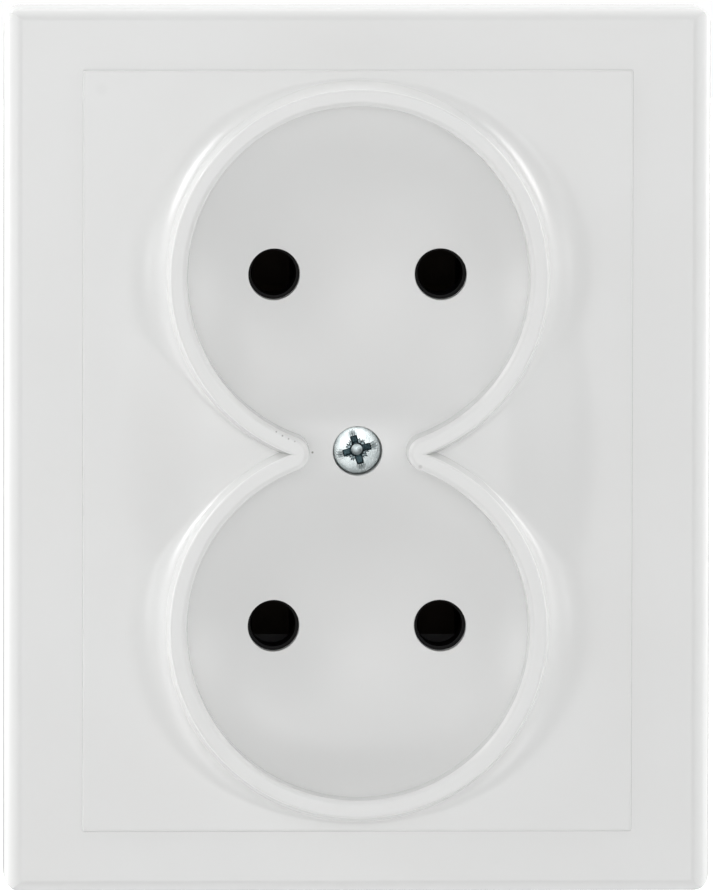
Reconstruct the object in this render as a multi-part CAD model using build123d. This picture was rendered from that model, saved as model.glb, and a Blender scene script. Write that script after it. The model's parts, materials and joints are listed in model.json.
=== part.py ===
from build123d import *

import math
import os

# Double wall socket, all sizes in millimetres.
# Every piece is drawn in a bench frame: X to the right, Y up, Z out of the wall, wall surface at Z = 0.
# The last step turns each piece so that the wall is the plane Y = 0, with Z up and the front towards -Y.

# Outer frame
FRAME_WIDTH = 80.5
FRAME_HEIGHT = 100.9
FRAME_DEPTH = 8.0
FRAME_CORNER = 2.0
FRAME_SIDE_ROUND = 2.1
FRAME_END_ROUND = 1.3
FRAME_WALL = 2.0
FRAME_SKIN = 2.0
FRAME_INNER_WALL = 1.4
LEDGE_WIDTH = 2.2
LEDGE_THICKNESS = 1.6
RIB_THICKNESS = 1.2
RIBS_PER_SIDE = 3

# Cover plate with its two wells
COVER_WIDTH = 62.6
COVER_HEIGHT = 87.0
COVER_CORNER = 0.5
COVER_GAP = 0.05
COVER_SKIN = 2.0
COVER_EDGE_ROUND = 0.2
SKIRT_DEPTH = 4.0
SKIRT_WALL = 1.5
WELL_SPACING = 40.2
WELL_DEPTH = 6.5
WELL_DRAFT = 0.35
RIM_RISE = 4.5
RIM_RADIUS = 21.5
RIM_WIDTH = 1.95
RIM_OUTER_ROUND = 0.3
RIM_INNER_ROUND = 0.65
RIM_DRAFT = 0.85
RIM_LAND = 0.6
FLARE_SIDE = 6.0
FLARE_END = 1.2
FLARE_SHIFT = 3.0
WEB_TOE_HALF_WIDTH = 27.5
WEB_TOE_HALF_HEIGHT = 23.5
WEB_TOP_HALF_WIDTH = 18.0
WEB_TOP_HALF_HEIGHT = 16.0
WEB_RISE = 1.6
WEB_SINK = 0.1
DISH_RADIUS = 70.0
CREST_ROUND = 18.0
FLOOR_SKIN = 1.8

# Plug pins
PIN_PITCH = 19.0
PIN_HOLE_RADIUS = 2.95
PIN_EDGE_ROUND = 0.15
COLLAR_BORE_RADIUS = 2.6
COLLAR_WALL = 1.6
COLLAR_TAIL = 0.9

# Cover screw and its nut
SCREW_RADIUS = 1.5
SCREW_PLAY = 0.03
SHANK_CLEARANCE = 0.15
SCREW_CROWN_ROUND = 0.55
SCREW_END_CHAMFER = 0.5
COVER_SCREW_HEAD_RADIUS = 2.775
COVER_SCREW_HEAD_HEIGHT = 1.9
COVER_SCREW_HEAD_SINK = 0.4
COVER_SCREW_LENGTH = 12.5
COVER_SCREW_HEAD_GAP = 0.15
BOSS_WALL = 1.3
BOSS_WEB = 1.9
BOSS_GAP = 0.2
NUT_SIZE = 5.5
NUT_THICKNESS = 1.8
NUT_GAP = 0.05
RECESS_SPAN = 3.3
RECESS_TIP_SPAN = 1.1
RECESS_WING = 0.75
RECESS_TIP_WING = 0.4
RECESS_DEPTH = 1.3
RECESS_TURN = 15.0

# Insulating housing
FLANGE_THICKNESS = 2.4
FLANGE_EDGE_ROUND = 0.5
HOUSING_WALL = 1.5
HOUSING_FLOOR = 2.05
HOUSING_SCREW_LENGTH = 12.0
HOUSING_SCREW_HEAD_RADIUS = 2.7
HOUSING_SCREW_HEAD_HEIGHT = 1.7
SEAT_GAP = 0.2
CHAMBER_GAP = 0.6

# Steel mounting bridge
BRIDGE_SIZE = 70.0
BRIDGE_CORNER = 5.0
BRIDGE_THICKNESS = 1.2
BRIDGE_OVERLAP = 2.6
SLOT_SPACING = 60.0
SLOT_LENGTH = 6.5
SLOT_WIDTH = 3.6

# Contacts and bus bars
STRIP_THICKNESS = 0.8
STRIP_WIDTH = 6.0
LEAF_THICKNESS = 0.6
LEAF_WIDTH = 6.0
LEAF_HALF_SPREAD = 3.1
LEAF_PINCH_GAP = 4.24
LEAF_MOUTH_GAP = 6.0
LEAF_PINCH_DEPTH = 4.6
LEAF_MOUTH_DEPTH = 1.6
LEAF_SHOULDER_DEPTH = 8.5
LEAF_FOOT_DEPTH = 15.6
LEAF_BEND = 0.8
CLIP_THICKNESS = 0.5
CLIP_HEIGHT = 1.2
CLIP_GAP = 0.02

# Wire terminals
BLOCK_SIZE = 7.0
BLOCK_HEIGHT = 7.0
BLOCK_EDGE = 0.4
WIRE_BORE_RADIUS = 1.7
STRIP_HOLE_RADIUS = 2.3
WIRE_ENTRY_RADIUS = 1.9
WIRE_ENTRY_FUNNEL = 0.6
TERMINAL_SCREW_RADIUS = 1.5
TERMINAL_SCREW_PLAY = 0.05
TERMINAL_HEAD_RADIUS = 2.7
TERMINAL_HEAD_HEIGHT = 1.6
TERMINAL_HEAD_GAP = 0.9
TERMINAL_TIP_GAP = 0.5
ACCESS_GAP = 0.3
SLOT_BLADE = 0.8

# Spreading claws
CLAW_WIDTH = 7.0
CLAW_THICKNESS = 1.2
CLAW_LEVER = 4.5
CLAW_LEVER_OVERHANG = 1.6
CLAW_ARM_LENGTH = 13.2
CLAW_ARM_LEAN = 0.9
CLAW_TOOTH_REACH = 1.4
CLAW_TEETH = 4
CLAW_PIVOT_DEPTH = 3.4
CLAW_KNUCKLE_RADIUS = 1.7
CLAW_SIDE_GAP = 0.15
CLAW_SCREW_TRAVEL = 1.9
CLAW_SCREW_GAP = 0.1
CLAW_SCREW_HEAD_RADIUS = 2.6
CLAW_SCREW_HEAD_HEIGHT = 1.6
CLAW_SCREW_TIP_RADIUS = 1.25
HINGE_PIN_RADIUS = 0.75
HINGE_PIN_PLAY = 0.05
HINGE_SEAT_PLAY = 0.02
HINGE_HEAD_RADIUS = 1.2
HINGE_HEAD_THICKNESS = 0.5
LUG_THICKNESS = 1.2
LUG_TIP_ROUND = 1.5
NOTCH_GAP = 0.4

# Levels and places that follow from the sizes above
RIM_TOP = FRAME_DEPTH + RIM_RISE
FLOOR_LEVEL = RIM_TOP - WELL_DEPTH
WELL_Y = WELL_SPACING / 2
PIN_X = PIN_PITCH / 2
WELL_RADIUS = RIM_RADIUS - RIM_WIDTH
APEX_X = math.sqrt(RIM_RADIUS**2 - WELL_Y**2)
LEDGE_TOP = FRAME_DEPTH - SKIRT_DEPTH
LEDGE_BOTTOM = LEDGE_TOP - LEDGE_THICKNESS
WINDOW_WIDTH = COVER_WIDTH + 2 * COVER_GAP
WINDOW_HEIGHT = COVER_HEIGHT + 2 * COVER_GAP
FLANGE_TOP = BRIDGE_THICKNESS + FLANGE_THICKNESS
COLLAR_RADIUS = COLLAR_BORE_RADIUS + COLLAR_WALL
COVER_HEAD_TOP = FLOOR_LEVEL + COVER_SCREW_HEAD_SINK
COVER_HEAD_SEAT = COVER_HEAD_TOP - COVER_SCREW_HEAD_HEIGHT
BOSS_RADIUS = COVER_SCREW_HEAD_RADIUS + COVER_SCREW_HEAD_GAP + BOSS_WALL
BOSS_BOTTOM = COVER_HEAD_SEAT - BOSS_WEB
HOUSING_SCREW_Y = WELL_Y + 1.0

STRIP_BOTTOM = -LEAF_FOOT_DEPTH - STRIP_THICKNESS
HOUSING_DEPTH = HOUSING_FLOOR - STRIP_BOTTOM
LEAF_OUTER = LEAF_HALF_SPREAD + LEAF_THICKNESS / 2
CHAMBER_RADIUS = math.hypot(PIN_X + LEAF_OUTER, WELL_Y + LEAF_WIDTH / 2) + CHAMBER_GAP
HOUSING_RADIUS = CHAMBER_RADIUS + HOUSING_WALL
CHAMBER_INNER_X = PIN_X - LEAF_OUTER - CHAMBER_GAP - CLIP_THICKNESS

BLOCK_INNER_X = PIN_X + STRIP_WIDTH / 2
BLOCK_OUTER_X = BLOCK_INNER_X + BLOCK_SIZE
BLOCK_X = BLOCK_INNER_X + BLOCK_SIZE / 2
CHAMBER_OUTER_X = BLOCK_OUTER_X + CHAMBER_GAP
HOUSING_HALF_WIDTH = CHAMBER_OUTER_X + TERMINAL_HEAD_HEIGHT + CHAMBER_GAP
TERMINAL_Z = -LEAF_FOOT_DEPTH + BLOCK_HEIGHT / 2
TERMINAL_TIP_X = BLOCK_X - WIRE_BORE_RADIUS + TERMINAL_TIP_GAP
TERMINAL_HEAD_X = BLOCK_OUTER_X + TERMINAL_HEAD_GAP

LUG_INNER_Y = CLAW_WIDTH / 2 + CLAW_SIDE_GAP
LUG_OUTER_Y = LUG_INNER_Y + LUG_THICKNESS
NOTCH_HALF_HEIGHT = LUG_OUTER_Y + HINGE_HEAD_THICKNESS + NOTCH_GAP
BLOCK_Y = NOTCH_HALF_HEIGHT + HOUSING_WALL + NOTCH_GAP + BLOCK_SIZE / 2
NOTCH_INNER_X = BLOCK_INNER_X + NOTCH_GAP + HOUSING_WALL + NOTCH_GAP + CHAMBER_GAP
CLAW_SCREW_X = NOTCH_INNER_X + CLAW_SCREW_HEAD_RADIUS + NOTCH_GAP
PIVOT_X = CLAW_SCREW_X + CLAW_LEVER
WINDOW_HALF_WIDTH = NOTCH_INNER_X - NOTCH_GAP
WINDOW_RADIUS = HOUSING_RADIUS - BRIDGE_OVERLAP
CLAW_SCREW_TIP_Z = -CLAW_PIVOT_DEPTH + CLAW_THICKNESS / 2 + CLAW_SCREW_GAP
CLAW_SCREW_SEAT_Z = BRIDGE_THICKNESS + CLAW_SCREW_GAP + CLAW_SCREW_TRAVEL

OVERCUT = 1.0
NEAR = 0.01
LOW = (Align.CENTER, Align.CENTER, Align.MIN)


def block(width, height, bottom, top, x=0.0, y=0.0):
    """Upright block between two levels, centred on x and y."""
    return Pos(x, y, bottom) * Box(width, height, top - bottom, align=LOW)


def disc(radius, bottom, top, x=0.0, y=0.0):
    """Upright cylinder between two levels."""
    return Pos(x, y, bottom) * Cylinder(radius, top - bottom, align=LOW)


def across(shape):
    """The shape and its mirror image on the other side of the vertical centre line."""
    return shape + mirror(shape, Plane.YZ)


def up_and_down(shape):
    """The shape and its mirror image below the waist."""
    return shape + mirror(shape, Plane.XZ)


def upper_half(shape):
    """What lies above the waist."""
    span = 2 * FRAME_HEIGHT
    return shape & block(span, span, -span, span, y=span / 2)


def placed(shape, side, level):
    """A piece drawn at the upper right, put at one of the four places."""
    if side == "left":
        shape = mirror(shape, Plane.YZ)
    if level == "lower":
        shape = mirror(shape, Plane.XZ)
    return shape


def side_profile(width, radius):
    """Front view outline of a block with two rounded front edges, drawn in X and Z."""
    half = width / 2
    top = FRAME_DEPTH
    turn = radius * (1 - math.sqrt(0.5))
    left_edge = Line((-half, 0), (-half, top - radius))
    left_arc = ThreePointArc((-half, top - radius), (-half + turn, top - turn), (-half + radius, top))
    face = Line((-half + radius, top), (half - radius, top))
    right_arc = ThreePointArc((half - radius, top), (half - turn, top - turn), (half, top - radius))
    right_edge = Line((half, top - radius), (half, 0))
    back = Line((half, 0), (-half, 0))
    return make_face(left_edge + left_arc + face + right_arc + right_edge + back)


def frame_outside():
    """Outer form: softer long sides, tighter ends, rounded corners."""
    along = extrude(Plane.XZ * side_profile(FRAME_WIDTH, FRAME_SIDE_ROUND), FRAME_HEIGHT / 2, both=True)
    over = extrude(Plane.YZ * side_profile(FRAME_HEIGHT, FRAME_END_ROUND), FRAME_WIDTH / 2, both=True)
    outline = extrude(RectangleRounded(FRAME_WIDTH, FRAME_HEIGHT, FRAME_CORNER), FRAME_DEPTH)
    return along & over & outline


def frame_ribs():
    """Stiffening ribs between the frame's outer wall and the wall round its window."""
    ribs = []
    span_x = (FRAME_WIDTH - WINDOW_WIDTH) / 2
    span_y = (FRAME_HEIGHT - WINDOW_HEIGHT) / 2
    for i in range(RIBS_PER_SIDE):
        share = (i + 1) / (RIBS_PER_SIDE + 1) - 0.5
        x_mid = (WINDOW_WIDTH + span_x) / 2
        y_mid = (WINDOW_HEIGHT + span_y) / 2
        side = block(span_x, RIB_THICKNESS, LEDGE_BOTTOM, FRAME_DEPTH - FRAME_SKIN, x_mid, share * WINDOW_HEIGHT)
        end = block(RIB_THICKNESS, span_y, LEDGE_BOTTOM, FRAME_DEPTH - FRAME_SKIN, share * WINDOW_WIDTH, y_mid)
        ribs += [across(side), up_and_down(end)]
    return ribs


def outer_frame():
    """Hollow moulded frame with a window and the ledge that the cover plate presses on."""
    outside = frame_outside()
    hollow = block(
        FRAME_WIDTH - 2 * FRAME_WALL, FRAME_HEIGHT - 2 * FRAME_WALL, -OVERCUT, FRAME_DEPTH - FRAME_SKIN
    )
    core_width = WINDOW_WIDTH + 2 * FRAME_INNER_WALL
    core_height = WINDOW_HEIGHT + 2 * FRAME_INNER_WALL
    core = block(core_width, core_height, LEDGE_BOTTOM, FRAME_DEPTH)
    shell = outside - (hollow - core)
    for rib in frame_ribs():
        shell += rib & outside
    window = block(WINDOW_WIDTH, WINDOW_HEIGHT, LEDGE_TOP, FRAME_DEPTH + OVERCUT)
    throat = block(
        COVER_WIDTH - 2 * LEDGE_WIDTH, COVER_HEIGHT - 2 * LEDGE_WIDTH, -OVERCUT, FRAME_DEPTH + OVERCUT
    )
    return shell - window - throat


def dish_balls(radius):
    """Ball pair whose undersides are the dished floors, blended along the crest at the waist."""
    ball = Pos(0, WELL_Y, FLOOR_LEVEL + DISH_RADIUS) * Sphere(radius)
    pair = up_and_down(ball)
    crest = [edge for edge in pair.edges() if edge.geom_type == GeomType.CIRCLE and abs(edge.center().Y) < NEAR]
    return fillet(crest, CREST_ROUND)


def well_flare():
    """Concave flare from the plate up to the rim of the upper well, wide at the sides and gone at the waist."""
    steps = 6
    rise = RIM_RISE - RIM_LAND
    sections = []
    for i in range(steps + 1):
        angle = math.pi / 2 * i / steps
        spread = 1 - math.sin(angle)
        level = FRAME_DEPTH + rise * (1 - math.cos(angle))
        outline = Ellipse(RIM_RADIUS + FLARE_SIDE * spread, RIM_RADIUS + (FLARE_END - FLARE_SHIFT) * spread)
        sections.append(Pos(0, WELL_Y + FLARE_SHIFT * spread, level) * outline)
    return up_and_down(upper_half(loft(sections)))


def waist_web():
    """Low web with a soft edge that fills the notches between the two wells."""
    steps = 6
    sections = []
    for i in range(steps + 1):
        share = i / steps
        half_width = WEB_TOE_HALF_WIDTH + (WEB_TOP_HALF_WIDTH - WEB_TOE_HALF_WIDTH) * share
        half_height = WEB_TOE_HALF_HEIGHT + (WEB_TOP_HALF_HEIGHT - WEB_TOE_HALF_HEIGHT) * share
        level = FRAME_DEPTH - WEB_SINK + (WEB_RISE + WEB_SINK) * (1 - math.cos(math.pi * share)) / 2
        sections.append(Pos(0, 0, level) * Ellipse(half_width, half_height))
    return loft(sections)


def rim_cap():
    """Drafted figure-of-eight rim with its rounded outer edge."""
    height = RIM_RISE + COVER_SKIN
    draft = RIM_DRAFT * height / RIM_RISE
    cap = Pos(0, WELL_Y, FRAME_DEPTH - COVER_SKIN) * Cone(RIM_RADIUS + draft, RIM_RADIUS, height, align=LOW)
    cap = fillet(cap.edges().sort_by(Axis.Z)[-1], RIM_OUTER_ROUND)
    return up_and_down(upper_half(cap))


def well_cavity():
    """Space inside both wells: two drafted rounds, joined through the waist between two rounded tips."""
    bottom = LEDGE_BOTTOM
    height = RIM_TOP - bottom
    draft = WELL_DRAFT * height / WELL_DEPTH
    round_well = Pos(0, WELL_Y, bottom) * Cone(WELL_RADIUS - draft, WELL_RADIUS, height, align=LOW)
    tip = Pos(APEX_X, 0, bottom) * Cone(RIM_WIDTH + draft, RIM_WIDTH, height, align=LOW)
    neck_outline = make_face(Polyline((APEX_X, 0), (0, WELL_Y), (-APEX_X, 0), (0, -WELL_Y), close=True))
    neck = extrude(Pos(0, 0, bottom) * neck_outline, height) - across(tip)
    return (up_and_down(round_well) + neck) & dish_balls(DISH_RADIUS)


def rounded_rim_edge(cover):
    """Round the inner top edge of the rim."""
    top_edges = cover.faces().filter_by(Plane.XY).sort_by(Axis.Z)[-1].inner_wires()[0].edges()
    return fillet(top_edges, RIM_INNER_ROUND)


def hole_edges(cover):
    """Edges where the pin holes meet the dished floors."""
    bores = [face for face in cover.faces() if face.geom_type == GeomType.CYLINDER]
    pin_bores = [face for face in bores if abs(face.radius - PIN_HOLE_RADIUS) < NEAR]
    return [face.edges().filter_by(GeomType.LINE, reverse=True).sort_by(Axis.Z)[-1] for face in pin_bores]


def cover_plate():
    """Centre plate moulded with skirt, flares, rim, dished wells, pin holes and screw boss."""
    plate = extrude(RectangleRounded(COVER_WIDTH, COVER_HEIGHT, COVER_CORNER), SKIRT_DEPTH)
    plate = Pos(0, 0, LEDGE_TOP) * plate
    plate = fillet(plate.faces().sort_by(Axis.Z)[-1].edges(), COVER_EDGE_ROUND)
    plate -= block(
        COVER_WIDTH - 2 * SKIRT_WALL, COVER_HEIGHT - 2 * SKIRT_WALL, LEDGE_TOP - OVERCUT, FRAME_DEPTH - COVER_SKIN
    )
    floor_block = up_and_down(disc(RIM_RADIUS, LEDGE_BOTTOM, FRAME_DEPTH - COVER_SKIN / 2, y=WELL_Y))
    floor_shell = floor_block & dish_balls(DISH_RADIUS + FLOOR_SKIN)
    cover = plate + waist_web() + well_flare() + rim_cap() + floor_shell
    cover = rounded_rim_edge(cover - well_cavity())
    cover += disc(BOSS_RADIUS, BOSS_BOTTOM, FLOOR_LEVEL + COVER_SCREW_HEAD_SINK)
    cover -= disc(COVER_SCREW_HEAD_RADIUS + COVER_SCREW_HEAD_GAP, COVER_HEAD_SEAT, RIM_TOP)
    cover -= disc(SCREW_RADIUS + SHANK_CLEARANCE, BOSS_BOTTOM - OVERCUT, RIM_TOP)
    for x in (-PIN_X, PIN_X):
        for y in (-WELL_Y, WELL_Y):
            cover -= disc(PIN_HOLE_RADIUS, BOSS_BOTTOM, RIM_TOP, x, y)
    return fillet(hole_edges(cover), PIN_EDGE_ROUND)


def cross_recess(top):
    """Tapered cross that is cut into a screw head whose crown is at the given level."""
    wing = loft(
        [
            Pos(0, 0, top) * Rectangle(RECESS_SPAN, RECESS_WING),
            Pos(0, 0, top - RECESS_DEPTH) * Rectangle(RECESS_TIP_SPAN, RECESS_TIP_WING),
        ]
    )
    return Rot(0, 0, RECESS_TURN) * (wing + Rot(0, 0, 90) * wing)


def headed_screw(head_radius, head_height, shank_radius, length, seat):
    """Screw with a low domed head, its underside at the seat level, and a chamfered end."""
    crown = fillet(disc(head_radius, seat, seat + head_height).edges().sort_by(Axis.Z)[-1], SCREW_CROWN_ROUND)
    shank = disc(shank_radius, seat - length, seat + head_height / 2)
    shank = chamfer(shank.edges().sort_by(Axis.Z)[0], SCREW_END_CHAMFER)
    return crown + shank


def cover_screw():
    """Zinc-plated screw at the waist, with a cross recess."""
    screw = headed_screw(
        COVER_SCREW_HEAD_RADIUS, COVER_SCREW_HEAD_HEIGHT, SCREW_RADIUS, COVER_SCREW_LENGTH, COVER_HEAD_SEAT
    )
    return screw - cross_recess(COVER_HEAD_TOP)


def cover_nut():
    """Square nut that is trapped in the housing behind the front insulator."""
    nut = block(NUT_SIZE, NUT_SIZE, -NUT_THICKNESS - NUT_GAP, -NUT_GAP)
    return nut - disc(SCREW_RADIUS + SCREW_PLAY, -HOUSING_DEPTH, FRAME_DEPTH)


def housing_outline():
    """Flat-sided round that fits inside a round wall box."""
    return Circle(HOUSING_RADIUS) & Rectangle(2 * HOUSING_HALF_WIDTH, 2 * HOUSING_RADIUS)


def claw_notches():
    """Room that housing and flange leave for the claws on both sides."""
    width = HOUSING_HALF_WIDTH
    return across(block(width, 2 * NOTCH_HALF_HEIGHT, -HOUSING_DEPTH, RIM_TOP, NOTCH_INNER_X + width / 2))


def window_face(gap=0.0):
    """Opening in the bridge that the front insulator plugs into."""
    return Circle(WINDOW_RADIUS - gap) & Rectangle(2 * (WINDOW_HALF_WIDTH - gap), 2 * WINDOW_RADIUS)


def front_insulator():
    """Insulating front piece with four pin collars, in front of the bridge."""
    flange = Pos(0, 0, BRIDGE_THICKNESS) * extrude(housing_outline(), FLANGE_THICKNESS)
    flange = chamfer(flange.faces().sort_by(Axis.Z)[-1].edges(), FLANGE_EDGE_ROUND)
    piece = flange - claw_notches() + extrude(window_face(SEAT_GAP), BRIDGE_THICKNESS)
    near_side = PIN_X - COLLAR_RADIUS
    collar_top = FLOOR_LEVEL - FLOOR_SKIN + near_side**2 / (2 * DISH_RADIUS) - SEAT_GAP / 2
    plug_room = Pos(0, 0, -COLLAR_TAIL) * extrude(window_face(SEAT_GAP), COLLAR_TAIL + BRIDGE_THICKNESS)
    for x in (-PIN_X, PIN_X):
        for y in (-WELL_Y, WELL_Y):
            piece += disc(COLLAR_RADIUS, BRIDGE_THICKNESS, collar_top, x, y)
            piece += disc(COLLAR_RADIUS, -COLLAR_TAIL, BRIDGE_THICKNESS, x, y) & plug_room
            piece -= disc(COLLAR_BORE_RADIUS, -HOUSING_DEPTH, RIM_TOP, x, y)
    piece -= disc(BOSS_RADIUS + BOSS_GAP, BOSS_BOTTOM, RIM_TOP)
    piece -= disc(SCREW_RADIUS + SHANK_CLEARANCE, -OVERCUT, RIM_TOP)
    for y in (-HOUSING_SCREW_Y, HOUSING_SCREW_Y):
        piece -= disc(SCREW_RADIUS + SHANK_CLEARANCE, -OVERCUT, RIM_TOP, y=y)
        seat = FLANGE_TOP - HOUSING_SCREW_HEAD_HEIGHT - SEAT_GAP
        piece -= disc(HOUSING_SCREW_HEAD_RADIUS + SEAT_GAP, seat, RIM_TOP, y=y)
    return piece


def pole_chamber():
    """Room for one pole: two contacts, the bus bar and two terminal blocks."""
    width = CHAMBER_OUTER_X - CHAMBER_INNER_X
    room = disc(CHAMBER_RADIUS, STRIP_BOTTOM, OVERCUT)
    room &= block(width, 2 * HOUSING_RADIUS, -HOUSING_DEPTH, OVERCUT, CHAMBER_INNER_X + width / 2)
    kept_half_height = NOTCH_HALF_HEIGHT + HOUSING_WALL
    kept_inner_x = NOTCH_INNER_X - HOUSING_WALL
    kept = block(width, 2 * kept_half_height, -HOUSING_DEPTH, OVERCUT, kept_inner_x + width / 2)
    return room - kept


def rear_housing():
    """Insulating cup behind the bridge, with a chamber for each pole."""
    cup = Pos(0, 0, -HOUSING_DEPTH) * extrude(housing_outline(), HOUSING_DEPTH)
    cup = chamfer(cup.faces().sort_by(Axis.Z)[0].edges(), FLANGE_EDGE_ROUND)
    cup -= claw_notches()
    cup -= across(pole_chamber())
    funnel = Cone(WIRE_ENTRY_RADIUS + WIRE_ENTRY_FUNNEL, WIRE_ENTRY_RADIUS, WIRE_ENTRY_FUNNEL, align=LOW)
    for x in (-BLOCK_X, BLOCK_X):
        for y in (-BLOCK_Y, BLOCK_Y):
            cup -= disc(WIRE_ENTRY_RADIUS, -HOUSING_DEPTH - OVERCUT, 0, x, y)
            cup -= Pos(x, y, -HOUSING_DEPTH) * funnel
    for y in (-BLOCK_Y, BLOCK_Y):
        driver_way = Cylinder(TERMINAL_HEAD_RADIUS + ACCESS_GAP, 4 * HOUSING_RADIUS, rotation=(0, 90, 0))
        driver_way -= Box(2 * BLOCK_OUTER_X, HOUSING_RADIUS, HOUSING_RADIUS)
        cup -= Pos(0, y, TERMINAL_Z) * driver_way
    cup -= block(NUT_SIZE + 2 * NUT_GAP, NUT_SIZE + 2 * NUT_GAP, -NUT_THICKNESS - 2 * NUT_GAP, OVERCUT)
    cup -= disc(SCREW_RADIUS + SHANK_CLEARANCE, COVER_HEAD_SEAT - COVER_SCREW_LENGTH - OVERCUT, OVERCUT)
    for y in (-HOUSING_SCREW_Y, HOUSING_SCREW_Y):
        cup -= disc(SCREW_RADIUS + SCREW_PLAY, -HOUSING_SCREW_LENGTH - OVERCUT, OVERCUT, y=y)
    return cup


def housing_screw():
    """Screw that clamps the housing, the bridge and the front insulator together."""
    seat = FLANGE_TOP - HOUSING_SCREW_HEAD_HEIGHT - SEAT_GAP
    screw = headed_screw(
        HOUSING_SCREW_HEAD_RADIUS, HOUSING_SCREW_HEAD_HEIGHT, SCREW_RADIUS, HOUSING_SCREW_LENGTH + seat, seat
    )
    return Pos(0, HOUSING_SCREW_Y, 0) * (screw - cross_recess(seat + HOUSING_SCREW_HEAD_HEIGHT))


def claw_lugs():
    """Four lugs bent back from the bridge, which hold the claw pins."""
    reach = CLAW_PIVOT_DEPTH + CLAW_KNUCKLE_RADIUS
    lug = block(2 * CLAW_KNUCKLE_RADIUS, LUG_THICKNESS, -reach, 0, PIVOT_X, (LUG_INNER_Y + LUG_OUTER_Y) / 2)
    tip_edges = lug.edges().filter_by(Axis.Y).sort_by(Axis.Z)[:2]
    lug = fillet(tip_edges, LUG_TIP_ROUND)
    hole = Pos(PIVOT_X, 0, -CLAW_PIVOT_DEPTH) * Cylinder(
        HINGE_PIN_RADIUS + HINGE_SEAT_PLAY, 4 * LUG_OUTER_Y, rotation=(90, 0, 0)
    )
    return across(up_and_down(lug - hole))


def mounting_bridge():
    """Pressed steel bridge that is screwed or clawed to the wall box."""
    plate = extrude(RectangleRounded(BRIDGE_SIZE, BRIDGE_SIZE, BRIDGE_CORNER), BRIDGE_THICKNESS)
    plate -= Pos(0, 0, -OVERCUT) * extrude(window_face(), BRIDGE_THICKNESS + 2 * OVERCUT)
    slot = extrude(SlotOverall(SLOT_LENGTH, SLOT_WIDTH), BRIDGE_THICKNESS + 2 * OVERCUT)
    plate -= across(Pos(SLOT_SPACING / 2, 0, -OVERCUT) * slot)
    plate -= across(disc(SCREW_RADIUS + SCREW_PLAY, -OVERCUT, BRIDGE_THICKNESS + OVERCUT, CLAW_SCREW_X))
    return plate + claw_lugs()


def bus_bar():
    """Brass strip that joins the two contacts of one pole, with a tab under each terminal block."""
    half_height = WELL_Y + LEAF_WIDTH / 2
    bar = block(STRIP_WIDTH, 2 * half_height, STRIP_BOTTOM, -LEAF_FOOT_DEPTH, PIN_X)
    for y in (-BLOCK_Y, BLOCK_Y):
        bar += block(BLOCK_SIZE, BLOCK_SIZE, STRIP_BOTTOM, -LEAF_FOOT_DEPTH, BLOCK_X, y)
        bar -= disc(STRIP_HOLE_RADIUS, STRIP_BOTTOM - OVERCUT, 0, BLOCK_X, y)
    return bar


def contact():
    """Bronze contact: a folded fork whose two leaves pinch a plug pin."""
    pinch = (LEAF_PINCH_GAP + LEAF_THICKNESS) / 2
    mouth = (LEAF_MOUTH_GAP + LEAF_THICKNESS) / 2
    foot = -LEAF_FOOT_DEPTH + LEAF_THICKNESS / 2
    right = [
        (mouth, -LEAF_MOUTH_DEPTH),
        (pinch, -LEAF_PINCH_DEPTH),
        (LEAF_HALF_SPREAD, -LEAF_SHOULDER_DEPTH),
        (LEAF_HALF_SPREAD, foot),
    ]
    left = [(-x, z) for x, z in reversed(right)]
    fold = trace(FilletPolyline(*right, *left, radius=LEAF_BEND), LEAF_THICKNESS)
    fork = extrude(Plane.XZ * fold, LEAF_WIDTH / 2, both=True)
    return Pos(PIN_X, WELL_Y, 0) * fork


def contact_clip():
    """Steel clip round the fork that presses its leaves together."""
    slope = (LEAF_MOUTH_GAP - LEAF_PINCH_GAP) / 2 / (LEAF_PINCH_DEPTH - LEAF_MOUTH_DEPTH)
    half_x = LEAF_PINCH_GAP / 2 + LEAF_THICKNESS * math.hypot(1, slope) + slope * CLIP_HEIGHT / 2 + CLIP_GAP
    half_y = LEAF_WIDTH / 2 + CLIP_GAP
    low = -LEAF_PINCH_DEPTH - CLIP_HEIGHT / 2
    high = -LEAF_PINCH_DEPTH + CLIP_HEIGHT / 2
    outside = block(2 * (half_x + CLIP_THICKNESS), 2 * (half_y + CLIP_THICKNESS), low, high)
    outside = fillet(outside.edges().filter_by(Axis.Z), CLIP_THICKNESS)
    return Pos(PIN_X, WELL_Y, 0) * (outside - block(2 * half_x, 2 * half_y, low - OVERCUT, high + OVERCUT))


def terminal_block():
    """Brass block with a wire bore from the back and a threaded hole from the side."""
    body = block(BLOCK_SIZE, BLOCK_SIZE, -LEAF_FOOT_DEPTH, -LEAF_FOOT_DEPTH + BLOCK_HEIGHT, BLOCK_X, BLOCK_Y)
    body = chamfer(body.edges().filter_by(Axis.Z), BLOCK_EDGE)
    body -= disc(WIRE_BORE_RADIUS, -HOUSING_DEPTH, 0, BLOCK_X, BLOCK_Y)
    thread = Cylinder(TERMINAL_SCREW_RADIUS + TERMINAL_SCREW_PLAY, BLOCK_SIZE, align=LOW)
    return body - Pos(BLOCK_X, BLOCK_Y, TERMINAL_Z) * Rot(0, 90, 0) * thread


def terminal_screw():
    """Slotted clamping screw, drawn upright and laid into the side of its block."""
    length = TERMINAL_HEAD_X - TERMINAL_TIP_X
    screw = headed_screw(TERMINAL_HEAD_RADIUS, TERMINAL_HEAD_HEIGHT, TERMINAL_SCREW_RADIUS, length, 0)
    depth = TERMINAL_HEAD_HEIGHT / 2
    screw -= block(2 * HOUSING_RADIUS, SLOT_BLADE, depth, TERMINAL_HEAD_HEIGHT + OVERCUT)
    return Pos(TERMINAL_HEAD_X, BLOCK_Y, TERMINAL_Z) * Rot(0, 90, 0) * screw


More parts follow.
